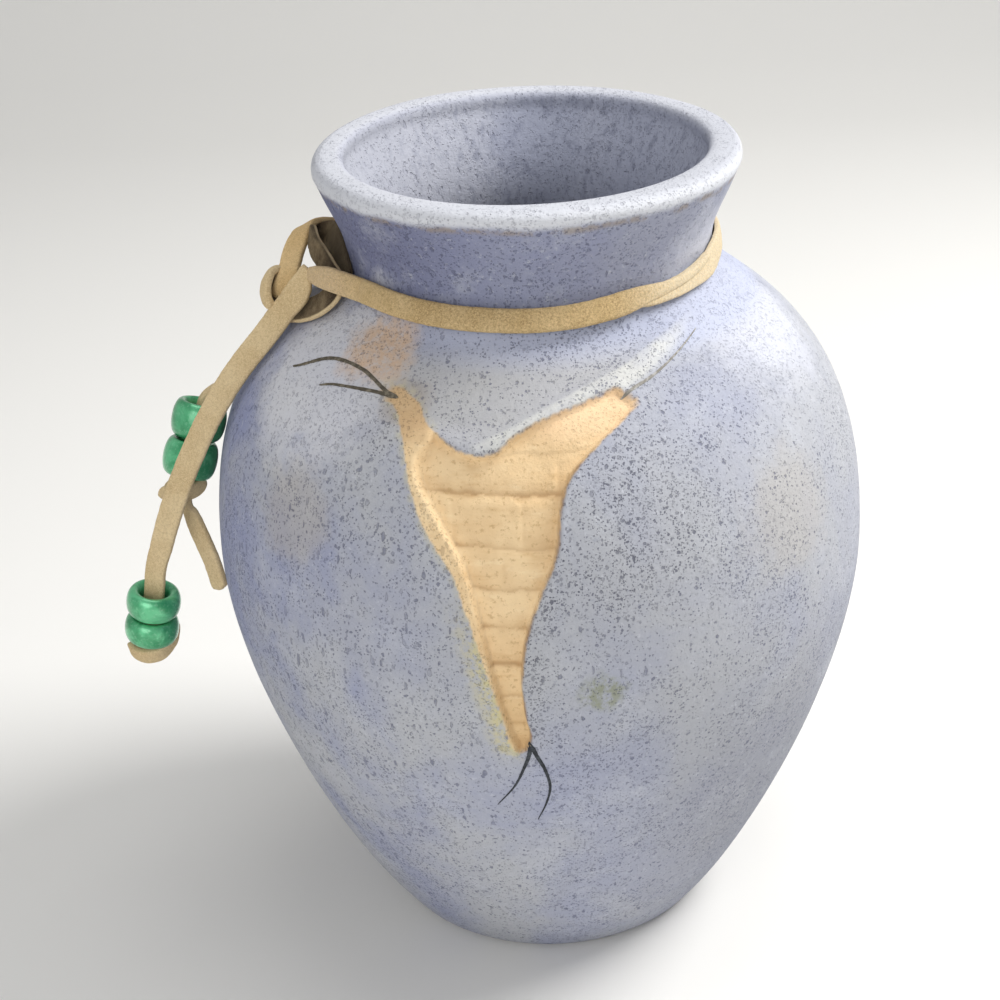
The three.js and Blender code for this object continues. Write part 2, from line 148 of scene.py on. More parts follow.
def mesh_object(name, vertices, faces, material):
    """A smooth-shaded mesh, from vertices in millimetres."""
    mesh = bpy.data.meshes.new(name)
    mesh.from_pydata((np.asarray(vertices) * MM).tolist(), [], faces)
    mesh.update()
    mesh.shade_smooth()
    obj = bpy.data.objects.new(name, mesh)
    obj.data.materials.append(material)
    bpy.context.scene.collection.objects.link(obj)
    return obj


def mark_points(obj, name, values):
    """Gives each vertex a number that the material reads by its name."""
    obj.data.attributes.new(name, "FLOAT", "POINT").data.foreach_set("value", values.astype(np.float32))


def grid_faces(rows, columns, closed=True):
    """Quads between rows of vertices. In a closed grid each row is a ring."""
    i, j = np.meshgrid(np.arange(rows - 1), np.arange(columns if closed else columns - 1), indexing="ij")
    here, beside = i * columns + j, i * columns + (j + 1) % columns
    return np.stack([here, beside, beside + columns, here + columns], -1).reshape(-1, 4)


def turn_round(line, angles):
    """A line of radii and heights, turned through the angles round the upright axis."""
    radius, height = line.T
    x, y = np.outer(radius, np.cos(angles)), np.outer(radius, np.sin(angles))
    return np.stack([x, y, np.outer(height, np.ones(len(angles)))], -1).reshape(-1, 3)


def ripple(points, scale, seed=0.0):
    """Smooth noise from -1 to 1 at each point, with a feature size in millimetres."""
    offset = Vector((seed * 7.3, seed * 3.1, -seed * 5.7))
    return np.array([noise.noise(Vector(p) / scale + offset) for p in np.asarray(points).tolist()])


def unevenness(points):
    """How far thrown clay strays from its outline, in wide swells and narrower ones."""
    return ripple(points, 38, 5) * 0.22 + ripple(points, 13, 6) * 0.07


def smoothstep(x):
    x = np.clip(x, 0, 1)
    return x * x * (3 - 2 * x)


def hump(values, width):
    """1 where a value is 0, and less the further it is from that."""
    return np.exp(-(values / width) ** 2)


def spline(points, step, closed=False):
    """A smooth line through the points, and where along it each new point lies, counted in points."""
    points = np.asarray(points, float)
    if closed:
        padded = np.concatenate([points[-1:], points, points[:2]])
    else:
        padded = np.concatenate([2 * points[:1] - points[1:2], points, 2 * points[-1:] - points[-2:-1]])
    steps = 24
    t = np.linspace(0, 1, steps, endpoint=False)[:, None]
    runs = []
    for a, b, c, d in zip(padded, padded[1:], padded[2:], padded[3:]):
        square, cube = 2 * a - 5 * b + 4 * c - d, 3 * b - a - 3 * c + d
        runs.append(0.5 * (2 * b + (c - a) * t + square * t**2 + cube * t**3))
    line = np.concatenate(runs + [padded[-2:-1]])
    length = np.concatenate([[0], np.cumsum(np.linalg.norm(np.diff(line, axis=0), axis=1))])
    places = np.linspace(0, length[-1], max(int(length[-1] / step), 3) + 1)
    where = np.interp(places, length, np.arange(len(line)) / steps)
    return np.column_stack([np.interp(places, length, column) for column in line.T]), where


def distance_to(line, points):
    """How far each point of the plane is from a line."""
    best = np.full(len(points), np.inf)
    for a, b in zip(line, line[1:]):
        d = b - a
        t = np.clip(((points - a) @ d) / (d @ d), 0, 1)
        away = points - a - t[:, None] * d
        best = np.minimum(best, np.hypot(away[:, 0], away[:, 1]))
    return best


def is_inside(loop, points):
    """Whether each point of the plane lies inside a closed line."""
    x, y = points[:, 0], points[:, 1]
    odd = np.zeros(len(points), bool)
    for a, b in zip(loop, np.roll(loop, -1, axis=0)):
        crosses = (a[1] > y) != (b[1] > y)
        at = a[0] + (y - a[1]) * (b[0] - a[0]) / (b[1] - a[1] if b[1] != a[1] else 1e-9)
        odd ^= crosses & (x < at)
    return odd


# Node helpers

def new_material(name):
    """A material, its shader and the helper that adds nodes to it."""
    material = bpy.data.materials.new(name)
    material.use_nodes = True
    nodes = material.node_tree.nodes
    return material, nodes["Principled BSDF"], Shade(material.node_tree)


def rgb(r, g, b):
    """A colour written as the screen shows it, from 0 to 255."""
    def linear(v):
        v /= 255
        return v / 12.92 if v <= 0.04045 else ((v + 0.055) / 1.055) ** 2.4
    return (linear(r), linear(g), linear(b), 1)


def fill(node, **values):
    """Sets a node's inputs by their names, written with _ for a space."""
    for name, value in values.items():
        node.inputs[name.replace("_", " ")].default_value = value


class Shade:
    """Short ways to make and link shader nodes."""

    def __init__(self, tree):
        self.tree = tree
        self.place = self.make("ShaderNodeTexCoord").outputs["Object"]

    def make(self, kind, **values):
        node = self.tree.nodes.new(kind)
        for name, value in values.items():
            setattr(node, name, value)
        return node

    def put(self, socket, value):
        if isinstance(value, bpy.types.NodeSocket):
            self.tree.links.new(value, socket)
        else:
            socket.default_value = value

    def axes(self):
        """Where a point is along x and along z, in metres."""
        split = self.make("ShaderNodeSeparateXYZ")
        self.put(split.inputs[0], self.place)
        return split.outputs[0], split.outputs[2]

    def math(self, operation, a, b, c=None, clamp=False):
        node = self.make("ShaderNodeMath", operation=operation, use_clamp=clamp)
        self.put(node.inputs[0], a)
        self.put(node.inputs[1], b)
        if c is not None:
            self.put(node.inputs[2], c)
        return node.outputs[0]

    def times(self, first, *others):
        for other in others:
            first = self.math("MULTIPLY", first, other)
        return first

    def most(self, first, *others):
        for other in others:
            first = self.math("MAXIMUM", first, other)
        return first

    def rest(self, value):
        """What is left of 1."""
        return self.math("SUBTRACT", 1.0, value)

    def mix(self, factor, a, b):
        node = self.make("ShaderNodeMix", data_type="RGBA")
        self.put(node.inputs[0], factor)
        self.put(node.inputs[6], a)
        self.put(node.inputs[7], b)
        return node.outputs[2]

    def over(self, colour, *layers):
        """A colour with others laid over it, each as how much it covers and its red, green and blue."""
        for cover, tint in layers:
            colour = self.mix(cover, colour, rgb(*tint))
        return colour

    def ramp(self, value, low, high, start=0.0, end=1.0):
        """A value rescaled smoothly between two limits."""
        node = self.make("ShaderNodeMapRange", interpolation_type="SMOOTHSTEP")
        for socket, item in zip(node.inputs, (value, low, high, start, end)):
            self.put(socket, item)
        return node.outputs[0]

    def stretched(self, x, y, z):
        node = self.make("ShaderNodeMapping")
        self.put(node.inputs["Vector"], self.place)
        fill(node, Scale=(x, y, z))
        return node.outputs[0]

    def noise(self, scale, detail=2.0, roughness=0.5, vector=None, distortion=0.0):
        """Noise of so many features to a metre."""
        node = self.make("ShaderNodeTexNoise")
        self.put(node.inputs["Vector"], vector or self.place)
        fill(node, Scale=scale, Detail=detail, Roughness=roughness, Distortion=distortion)
        return node.outputs["Fac"]

    def attribute(self, name):
        return self.make("ShaderNodeAttribute", attribute_name=name).outputs["Fac"]

    def bump(self, height, strength, distance, below=None):
        node = self.make("ShaderNodeBump")
        fill(node, Strength=strength, Distance=distance)
        self.put(node.inputs["Height"], height)
        if below is not None:
            self.put(node.inputs["Normal"], below)
        return node.outputs[0]


# Materials

def specks(shade, scale, size, density, vector=None):
    """Small irregular dots, so many to a metre: 1 inside, 0 outside. density is a socket from 0 to 1."""
    warp = shade.make("ShaderNodeVectorMath", operation="MULTIPLY_ADD")
    blur = shade.make("ShaderNodeTexNoise")
    shade.put(blur.inputs["Vector"], vector or shade.place)
    fill(blur, Scale=scale * 1.6)
    shade.put(warp.inputs[0], blur.outputs["Color"])
    warp.inputs[1].default_value = (0.7 / scale,) * 3
    shade.put(warp.inputs[2], vector or shade.place)
    cell = shade.make("ShaderNodeTexVoronoi")
    shade.put(cell.inputs["Vector"], warp.outputs[0])
    fill(cell, Scale=scale)
    lot = shade.make("ShaderNodeSeparateColor")
    shade.put(lot.inputs[0], cell.outputs["Color"])
    limit = shade.math("MULTIPLY", lot.outputs[0], size)
    kept = shade.math("LESS_THAN", lot.outputs[1], density)
    inside = shade.ramp(shade.math("SUBTRACT", limit, cell.outputs["Distance"]), -0.08, 0.08)
    return shade.times(inside, kept)


def stain_and_light_blot(shade, centre, radius, strength=1.0):
    """A soft uneven blot round a point, in metres: used for stains, and also for painted highlight and shade."""
    away = shade.make("ShaderNodeVectorMath", operation="DISTANCE")
    shade.put(away.inputs[0], shade.place)
    away.inputs[1].default_value = centre
    rough = shade.math("MULTIPLY_ADD", shade.noise(180, 4, 0.65), radius * 1.1, radius * 0.45)
    near = shade.rest(shade.math("DIVIDE", away.outputs["Value"], rough))
    return shade.times(shade.ramp(near, 0.0, 0.55), strength)


# Places on the vase that differ in tone, in metres

RIGHT_SHOULDER_HIGHLIGHT, LEFT_SHOULDER = (0.034, -0.014, 0.112), (-0.031, -0.024, 0.105)
CALM_SHOULDER = (0.034, -0.014, 0.110)
RIGHT_FLANK, LEFT_FLANK = (0.0371, -0.0353, 0.0851), (-0.0361, -0.0354, 0.0874)
UNDER_KNOT, LOW_FRONT = (-0.0229, -0.0262, 0.1098), (0.0086, -0.0521, 0.0649)
BESIDE_LEFT_ARM, ON_LEFT_ARM, UNDER_LEFT_ARM = [(x, -0.0355, z) for x, z in (
    (-0.0186, 0.1045), (-0.0186, 0.1040), (-0.0205, 0.1000))]
BESIDE_PATCH, BACK_OF_MOUTH_SHADE = (0.013, -0.048, 0.090), (0.002, 0.029, 0.1235)

# What the vase's mesh says about each of its points, from 0 to 1 save for relief and scoop
SKIN_MARKS = ("tan", "relief", "spray", "scoop", "bowl", "deep", "edge", "beside", "within")


def clay_colour(shade, x, z, left):
    """Blue-grey with blue clouds, darker low on the right, painted shade to the left and at the neck, and painted
    light on the shoulders.
    """
    clouds = shade.noise(34, 4, 0.62, distortion=0.4)
    streaks = shade.noise(60, 3, 0.6, shade.stretched(1, 1, 0.22))
    cloudy = shade.ramp(shade.math("ADD", clouds, shade.times(streaks, 0.5)), 0.58, 0.98)
    # Blue clouds, the clay's own, grown stronger to the left by painted shade on the side away from the key light.
    clouds_and_left_shade = shade.times(cloudy, shade.math("MULTIPLY_ADD", left, 0.55, 0.36))
    low_right = shade.times(shade.ramp(x, 0.005, 0.036), shade.ramp(z, 0.074, 0.036), 0.75)
    # The neck darker and more blue, most on its left and deepest at its top left: painted shade under the lip and
    # away from the key light.
    neck = shade.times(shade.ramp(z, 0.1085, 0.1150), shade.ramp(x, 0.034, -0.026, 0.45, 0.9))
    shaded = shade.times(shade.ramp(z, 0.1120, 0.1160), shade.ramp(x, -0.003, -0.024, 0, 0.72))
    mottle = shade.noise(1000, 5, 0.75)
    return shade.over(
        rgb(177, 179, 185),
        (clouds_and_left_shade, (140, 147, 182)),
        (low_right, (146, 149, 160)),
        (neck, (133, 138, 167)),
        (shaded, (104, 108, 138)),
        (shade.times(shade.ramp(shade.noise(75, 5, 0.7), 0.5, 0.75), 0.5), (194, 197, 205)),
        # Painted highlight on the right shoulder, where the key light falls.
        (stain_and_light_blot(shade, RIGHT_SHOULDER_HIGHLIGHT, 0.020, 0.55), (216, 218, 228)),
        # A pale wash on the left shoulder: partly the clay's whitish tone, partly painted light against the shadow of
        # the knot and tail.
        (stain_and_light_blot(shade, LEFT_SHOULDER, 0.019, 0.7), (218, 218, 221)),
        (shade.ramp(mottle, 0.42, 0.3, 0, 0.45), (126, 132, 152)),
        (shade.ramp(mottle, 0.56, 0.7, 0, 0.4), (206, 209, 217)))


def with_hollow(shade, colour, x, z, mark):
    """Painted light under the band against its shadow, grey painted shade in the hollow above the patch, and a cream
    painted highlight on its crest.
    """
    # Paler under the band: painted light against the band's shadow.
    collar = shade.times(shade.ramp(z, 0.1070, 0.1095), shade.ramp(z, 0.1145, 0.1130, 0, 0.75),
                         shade.ramp(x, -0.024, -0.008))
    # Greyer in the hollow above the patch: painted shade.
    hollow = shade.times(mark["bowl"], 0.7, shade.ramp(z, 0.1115, 0.1075))
    # Cream on the crest of the hollow: a patchy painted highlight.
    patchy_highlight = shade.ramp(shade.noise(200, 4, 0.6), 0.3, 0.7, 0.35, 0.8)
    crest = shade.times(shade.ramp(mark["scoop"], -0.05, -0.75), patchy_highlight)
    return shade.over(colour, (collar, (184, 190, 212)), (hollow, (184, 183, 180)), (crest, (214, 214, 208)))


def with_mouth(shade, colour, x, z, within):
    """A lip pale with painted highlight, over a faint brown line, and a pale inside with smudges that painted shade
    darkens to the right. Also says where the lip is.
    """
    edge_height = shade.math("MULTIPLY_ADD", shade.noise(110, 4, 0.65), 0.0022, z)
    outside = shade.rest(within)
    lip = shade.times(shade.ramp(edge_height, 0.1298, 0.1313), outside)
    line = shade.times(shade.ramp(edge_height, 0.1290, 0.1299), shade.ramp(edge_height, 0.1308, 0.1300),
                       shade.ramp(shade.noise(240, 4, 0.7), 0.46, 0.6, 0, 0.55), outside)
    smudge = shade.noise(760, 4, 0.65, shade.stretched(1, 1, 0.45))
    # Smudges, made stronger to the right: partly real smudges, partly painted shade.
    smudges_and_shade = shade.times(shade.ramp(smudge, 0.48, 0.68, 0, 0.55), shade.ramp(x, -0.03, -0.004, 0.15, 1),
                         shade.ramp(z, 0.095, 0.124, 0.35, 1))
    # The inside darker to the right and in the middle of the far wall: painted shade.
    inner = shade.over(
        rgb(180, 182, 191),
        (shade.ramp(x, -0.02, 0.02), (163, 167, 184)),
        (stain_and_light_blot(shade, BACK_OF_MOUTH_SHADE, 0.013, 0.6), (140, 145, 164)),
        (smudges_and_shade, (112, 116, 134)))
    colour = shade.mix(shade.times(within, 0.9), colour, inner)
    # The pale lip and its brighter top: painted highlight where the lip catches the light.
    lip_highlight = shade.over(rgb(198, 200, 206), (shade.ramp(x, -0.01, 0.03), (186, 188, 195)))
    lip_highlight = shade.mix(shade.ramp(z, 0.1308, 0.1322), rgb(219, 221, 226), lip_highlight)
    colour = shade.mix(shade.times(lip, 0.88), colour, lip_highlight)
    return shade.over(colour, (line, (156, 140, 116))), lip


def with_stains(shade, colour, blots):
    """Brown under the knot and beside the left arm, yellow-green low on the front, and beige hazes."""
    brown = shade.times(stain_and_light_blot(shade, UNDER_KNOT, 0.0078), shade.ramp(blots, 0.3, 0.6, 0.35, 0.95))
    green = shade.times(stain_and_light_blot(shade, LOW_FRONT, 0.0044), shade.ramp(blots, 0.36, 0.6, 0, 0.75))
    return shade.over(
        colour,
        (brown, (206, 178, 152)),
        (green, (140, 144, 116)),
        (stain_and_light_blot(shade, LEFT_FLANK, 0.010, 0.4), (180, 172, 158)),
        (stain_and_light_blot(shade, RIGHT_FLANK, 0.012, 0.3), (190, 182, 168)),
        (stain_and_light_blot(shade, BESIDE_LEFT_ARM, 0.0055, 0.5), (150, 138, 126)))


def pits(shade, left, mark, lip):
    """Where pits and specks are, how dark they are, faint on the lip, and where they are thickest."""
    crowd = shade.noise(60, 4, 0.65)
    flank = stain_and_light_blot(shade, BESIDE_PATCH, 0.019, 0.6)
    thick = shade.most(mark["beside"], shade.times(flank, 1.3), stain_and_light_blot(shade, UNDER_LEFT_ARM, 0.0065, 0.9))
    dense = shade.math("MULTIPLY_ADD", thick, 0.42, shade.ramp(crowd, 0.36, 0.66, 0.26, 0.78))
    fine = specks(shade, 3400, 0.5, shade.times(dense, 0.86))
    medium = specks(shade, 2000, 0.5, shade.times(dense, 0.54))
    broad = specks(shade, 1250, 0.4, shade.times(dense, 0.3))
    drawn = specks(shade, 1400, 0.44, shade.times(left, 0.32), shade.stretched(1, 1, 0.4))
    covered = shade.times(mark["tan"], shade.math("MULTIPLY_ADD", mark["deep"], 0.4, 0.56))
    dots = shade.times(shade.most(fine, medium, broad, drawn), shade.rest(covered))
    depth = shade.ramp(shade.noise(420, 3, 0.6), 0.34, 0.64, 0.2, 0.62)
    depth = shade.math("MULTIPLY_ADD", thick, 0.16, depth, clamp=True)
    calm = shade.most(stain_and_light_blot(shade, CALM_SHOULDER, 0.026, 0.65), stain_and_light_blot(shade, LEFT_SHOULDER, 0.021, 0.5))
    at_mouth = shade.math("MULTIPLY_ADD", shade.math("ADD", lip, mark["within"]), -0.62, 1.0)
    return dots, shade.times(depth, shade.rest(calm), at_mouth), thick


def patch_colour(shade, x, z, relief):
    """Tan, browner low down with painted shade, brushed lighter and darker, with painted highlight where bricks stand
    out and darker where they sink and in the joints, partly their own tone, partly painted shade.
    """
    brushed = shade.noise(300, 4, 0.6, shade.stretched(0.45, 0.45, 1.6))
    right_arm = shade.times(shade.ramp(x, -0.004, 0.004), shade.ramp(z, 0.099, 0.104, 0, 0.6))
    return shade.over(
        rgb(231, 200, 155),
        (shade.ramp(shade.noise(120, 4, 0.6), 0.35, 0.7), (243, 215, 171)),
        # Browner low down: painted shade, dimmer further from the light above.
        (shade.ramp(z, 0.074, 0.058, 0, 0.5), (210, 180, 134)),
        (shade.ramp(brushed, 0.52, 0.76, 0, 0.6), (212, 176, 126)),
        (shade.ramp(brushed, 0.44, 0.28, 0, 0.5), (250, 228, 188)),
        # Lighter where bricks stand out: painted highlight. Darker where they sink and in the joints: partly the
        # joints' own tone, partly painted shade.
        (shade.ramp(relief, 0.05, 0.4, 0, 0.6), (245, 222, 178)),
        (shade.ramp(relief, -0.06, -0.36, 0, 0.7), (178, 140, 96)),
        (shade.ramp(shade.noise(1300, 4, 0.7), 0.55, 0.67, 0, 0.55), (188, 154, 108)),
        (right_arm, (240, 206, 168)),
        (stain_and_light_blot(shade, ON_LEFT_ARM, 0.0085, 0.6), (170, 138, 102)))


def pottery_material():
    material, skin, shade = new_material("pottery")
    x, z = shade.axes()
    mark = {name: shade.attribute(name) for name in SKIN_MARKS}
    left = shade.ramp(x, 0.03, -0.05)
    blots = shade.noise(700, 5, 0.75)
    colour = clay_colour(shade, x, z, left)
    colour = with_hollow(shade, colour, x, z, mark)
    colour, lip = with_mouth(shade, colour, x, z, mark["within"])
    colour = with_stains(shade, colour, blots)
    dots, depth, thick = pits(shade, left, mark, lip)
    ink = shade.mix(thick, rgb(86, 90, 114), rgb(78, 80, 94))
    colour = shade.mix(shade.times(dots, depth), colour, ink)

    # Yellow overspray along the patch, its tan, dirt in its pits and a painted shadow along its right edge
    overspray = shade.times(mark["spray"], shade.ramp(blots, 0.36, 0.62))
    colour = shade.over(colour, (overspray, (204, 194, 146)))
    colour = shade.mix(mark["tan"], colour, patch_colour(shade, x, z, mark["relief"]))
    shade.put(skin.inputs["Base Color"], shade.over(
        colour,
        (shade.times(dots, mark["tan"], 0.6), (96, 78, 66)),
        (shade.times(mark["edge"], 0.7), (122, 88, 68))))

    # A chalky surface: shallow dents, grain and the pits
    under = shade.bump(shade.noise(520, 5, 0.7), 0.4, 0.0006)
    under = shade.bump(shade.noise(2600, 3, 0.6), 0.3, 0.0002, under)
    shade.put(skin.inputs["Normal"], shade.bump(shade.rest(dots), 0.7, 0.0003, under))
    fill(skin, Roughness=0.82, Specular_IOR_Level=0.25)
    return material


def suede_material(name, base, pale, dark, wear_and_highlight=0.0):
    """Napped, and darker on its flesh side: partly that side's own tone, partly painted shade, and painted shade
    alone near the neck. The last argument says how much paler it gets at the right, from wear and a painted
    highlight, and beside the knot.
    """
    material, skin, shade = new_material(name)
    x, _ = shade.axes()
    nap = shade.noise(2700, 4, 0.75)
    grain = shade.noise(5200, 3, 0.7)
    colour = shade.over(
        shade.mix(shade.ramp(shade.noise(130, 4, 0.6), 0.3, 0.72), base, pale),
        # Paler at the right: partly wear, partly a painted highlight where the key light falls.
        (shade.ramp(x, 0.010, 0.024, 0, wear_and_highlight), (236, 224, 198)),
        (shade.ramp(x, -0.024, -0.031, 0, wear_and_highlight * 0.7), (214, 192, 164)))
    rubbed = shade.times(shade.ramp(nap, 0.3, 0.78), shade.ramp(x, 0.012, 0.024, 0.5 + 0.35 * wear_and_highlight, 0.5),
                         shade.ramp(x, -0.026, -0.016, 1 - 0.5 * wear_and_highlight, 1))
    colour = shade.mix(rubbed, colour, dark)
    colour = shade.mix(shade.ramp(grain, 0.46, 0.68, 0, 0.8), colour, pale)
    # The flesh side's colour: partly its own darker tone, partly painted shade, darkened further near the neck by
    # painted shade only.
    reverse_and_shade_colour = shade.over(
        rgb(74, 61, 47),
        (shade.ramp(shade.noise(420, 5, 0.7), 0.35, 0.68), (126, 110, 86)),
        (shade.ramp(x, -0.0325, -0.0293, 0, 0.75), (42, 32, 27)))
    shade.put(skin.inputs["Base Color"], shade.mix(shade.attribute("reverse_and_shade"), colour, reverse_and_shade_colour))
    under = shade.bump(nap, 0.7, 0.0003)
    shade.put(skin.inputs["Normal"], shade.bump(grain, 0.6, 0.00012, under))
    fill(skin, Roughness=0.95, Specular_IOR_Level=0.12)
    fill(skin, Sheen_Weight=0.25, Sheen_Roughness=0.5, Sheen_Tint=rgb(240, 220, 180))
    return material


def pearl_material():
    material, skin, shade = new_material("pearl_green")
    swirl = shade.noise(210, 3, 0.55, distortion=1.2)
    fleck = shade.noise(2400, 2, 0.5)
    shade.put(skin.inputs["Base Color"], shade.over(
        rgb(50, 158, 102),
        (shade.ramp(swirl, 0.35, 0.7), (104, 208, 150)),
        (shade.ramp(fleck, 0.5, 0.8, 0, 0.3), (172, 236, 196))))
    fill(skin, Metallic=0.4, Roughness=0.38, Coat_Weight=1.0, Coat_Roughness=0.16)
    shade.put(skin.inputs["Normal"], shade.bump(shade.noise(500, 3), 0.12, 0.0004))
    return material


def paint_material(name, dark, worn):
    material, skin, shade = new_material(name)
    rubbed = shade.ramp(shade.noise(1300, 3, 0.6), 0.4, 0.7)
    shade.put(skin.inputs["Base Color"], shade.mix(rubbed, dark, worn))
    fill(skin, Roughness=0.8)
    return material


pottery = pottery_material()
suede = suede_material("suede", rgb(216, 190, 145), rgb(238, 216, 174), rgb(160, 132, 90))
golden_suede = suede_material("suede_band", rgb(200, 171, 121), rgb(230, 203, 154), rgb(128, 98, 58), wear_and_highlight=0.85)
strand_suede = suede_material("suede_strand", rgb(222, 188, 134), rgb(240, 210, 158), rgb(156, 124, 78))
pearl_green = pearl_material()
crack_paint = paint_material("crack_paint", rgb(34, 38, 44), rgb(66, 72, 78))
worn_paint = paint_material("worn_crack_paint", rgb(78, 72, 60), rgb(122, 114, 98))
faint_paint = paint_material("faint_crack_paint", rgb(132, 128, 120), rgb(176, 175, 172))


# The patch: its tan outline and the wall where the recess starts, seen from the front as x and z

TAN_EDGE = [
    (-22.1, 105.7), (-19.2, 106.4), (-16.8, 105.0), (-15.2, 102.6), (-12.6, 100.9), (-9.9, 99.8), (-7.6, 99.7),
    (-5.4, 100.4), (-2.5, 102.3), (2.1, 103.9), (7.5, 105.3), (11.3, 106.2), (12.7, 105.6), (14.6, 104.3),
    (11.8, 102.3), (8.0, 99.8), (4.7, 96.8), (3.2, 92.9), (2.5, 87.4), (0.8, 83.0), (-1.0, 78.7), (-2.6, 73.6),
    (-3.3, 67.7), (-3.0, 61.8), (-2.4, 57.0), (-4.0, 54.4), (-5.2, 55.7), (-6.6, 61.7), (-8.1, 67.5),
    (-9.5, 72.9), (-10.9, 78.0), (-12.3, 82.8), (-14.8, 87.3), (-17.2, 91.5), (-18.5, 96.3), (-19.2, 100.8),
    (-20.3, 103.9),
]
RECESS_WALL = [
    (-3.5, 52.0), (-5.2, 56.5), (-6.2, 60.5), (-7.2, 64.6), (-8.0, 68.6), (-8.8, 73.0), (-9.6, 76.9), (-10.7, 82.5),
    (-12.2, 86.8), (-14.2, 90.2), (-15.8, 93.0), (-17.5, 96.1), (-17.6, 98.6), (-16.0, 100.6), (-13.5, 103.5),
]
SCOOP_RIDGE = [
    (-26, 99.5), (-18, 101.5), (-10, 100.6), (-5.1, 101.5), (-0.8, 103.2), (3.5, 104.8), (9.4, 106.7), (13.1, 107.6),
    (17, 109.1), (20.9, 110.4), (25, 111.8),
]
# Height of each joint, with how strong it is, and the upright joints: x, from which height, to which
COURSES = [(100.3, 0.2), (94.9, 0.62), (87.7, 0.42), (81.6, 0.42), (75.8, 0.45), (69.8, 0.7), (64.1, 0.5),
           (58.9, 0.35), (53.4, 0.1)]
UPRIGHTS = [(-2.4, 88.0, 94.6), (-12.6, 88.0, 94.6), (3.0, 95.2, 99.9), (-5.5, 81.8, 87.4)]


def course_relief(x, z, points):
    """How far the floor of bricks stands out at each point, from its worn courses and joints."""
    z = z + 0.45 * ripple(points, 4.5, 3) + 0.2 * ripple(points, 1.3, 12) + 0.03 * (x + 6)
    worn = np.clip(0.62 + 0.6 * ripple(points, 3.2, 11), 0.1, 1)
    relief = np.zeros(len(z))
    for (top, upper), (below, lower) in zip(COURSES, COURSES[1:]):
        drop = top - z
        inside = (drop >= 0) & (z > below)
        t = drop / (top - below)
        body = 0.22 * upper * hump(t - 0.2, 0.13) * (0.4 + 0.6 * worn)
        body -= 0.08 + 0.16 * lower * smoothstep((t - 0.45) / 0.5)
        joint = upper * hump(drop, 0.5) + lower * hump(z - below, 0.5)
        relief = np.where(inside, body - 0.32 * worn * joint, relief)
    for at, low, high in UPRIGHTS:
        along = smoothstep((z - low) / 1.4) * smoothstep((high - z) / 1.4) * (0.3 + 0.7 * worn)
        relief += 0.8 * along * (0.14 * hump(x - at + 0.7, 0.8) - 0.12 * hump(x - at, 0.4))
    return relief + 0.05 * ripple(points, 2.0, 13)


def carve(points, normals):
    """Moves the front of the skin to its carved shape, and says what each part of it is like."""
    flat = points[:, [0, 2]]
    x, z = flat.T
    jitter = ripple(points, 0.8, 1) * 0.3 + ripple(points, 2.6, 2) * 0.3
    tan_line, _ = spline(TAN_EDGE, 0.8, closed=True)
    inward = distance_to(tan_line, flat) * np.where(is_inside(tan_line, flat), 1, -1)
    wall_line, _ = spline(RECESS_WALL, 0.8)
    wall_x = np.interp(z, wall_line[:, 1], wall_line[:, 0])
    past_wall = distance_to(wall_line, flat) * np.sign(x - wall_x)
    edge_width = np.where(z > 97, 0.5, 0.4)
    wall_width = 0.55 + 0.5 * smoothstep((z - 92) / 6)
    depth = smoothstep((inward + 0.15 * jitter) / edge_width) * smoothstep((past_wall + 0.25 * jitter) / wall_width)
    depth *= 1 - 0.55 * smoothstep((z - 98) / 5) * smoothstep((x + 3) / 6)
    rim = 0.1 * hump(past_wall + 0.3, 0.35) * smoothstep(inward / 0.5)
    rim += 0.14 * hump(inward + 0.45, 0.4) * (x > -9)
    # relief also sets the painted highlight and shade on the bricks.
    relief = course_relief(x, z, points) * depth

    ridge_line, _ = spline(SCOOP_RIDGE, 1.0)
    above = distance_to(ridge_line, flat) * np.sign(z - np.interp(x, ridge_line[:, 0], ridge_line[:, 1]))
    fade = smoothstep((x + 30) / 12) * smoothstep((27 - x) / 12)
    scoop = smoothstep(above / 2.6) * smoothstep((114 - z) / 3.0) * fade
    # The raised crest above the hollow; the material also paints a highlight on it.
    crest = hump(above + 0.3, 1.5) * fade * smoothstep((x + 12) / 8) * (inward < 0)
    sunk = PATCH_DEPTH * WORN_DEPTH * depth - relief - rim + HOLLOW_DEPTH * scoop - CREST_HEIGHT * crest
    points = points - normals * sunk[:, None]

    tan = smoothstep((inward + 0.6 * jitter + 0.12) / 0.3)
    lower_left = smoothstep((82 - z) / 12) * smoothstep((z - 52) / 4)
    spray = np.maximum(0.9 * smoothstep((4.2 + inward) / 3.8) * lower_left, 0.4 * smoothstep((1.3 + inward) / 1.3))
    spray *= (inward < 0.4) * (past_wall < 0.3)
    # Where a painted shadow darkens the patch along its right wall, less at the top.
    edge = hump(inward - 0.05, 0.22) * (past_wall > 1.2) * (1 - 0.75 * smoothstep((z - 97) / 4))
    edge *= np.clip(0.6 + 0.8 * ripple(points, 2.2, 14), 0, 1)
    beside = smoothstep((7 + inward) / 7) * (past_wall > 0) * smoothstep((z - 50) / 8) * smoothstep((103 - z) / 6)
    beside *= inward < 0
    # Where painted shade greys the hollow above the patch.
    bowl = smoothstep((above + 3) / 5) * fade * (inward < 0.3)
    return points, {"tan": tan, "relief": relief, "spray": spray, "scoop": scoop - crest, "bowl": bowl,
                    "deep": depth, "edge": edge, "beside": beside}


# The vase: one fine turned skin, inside and out, with the hand-made mouth

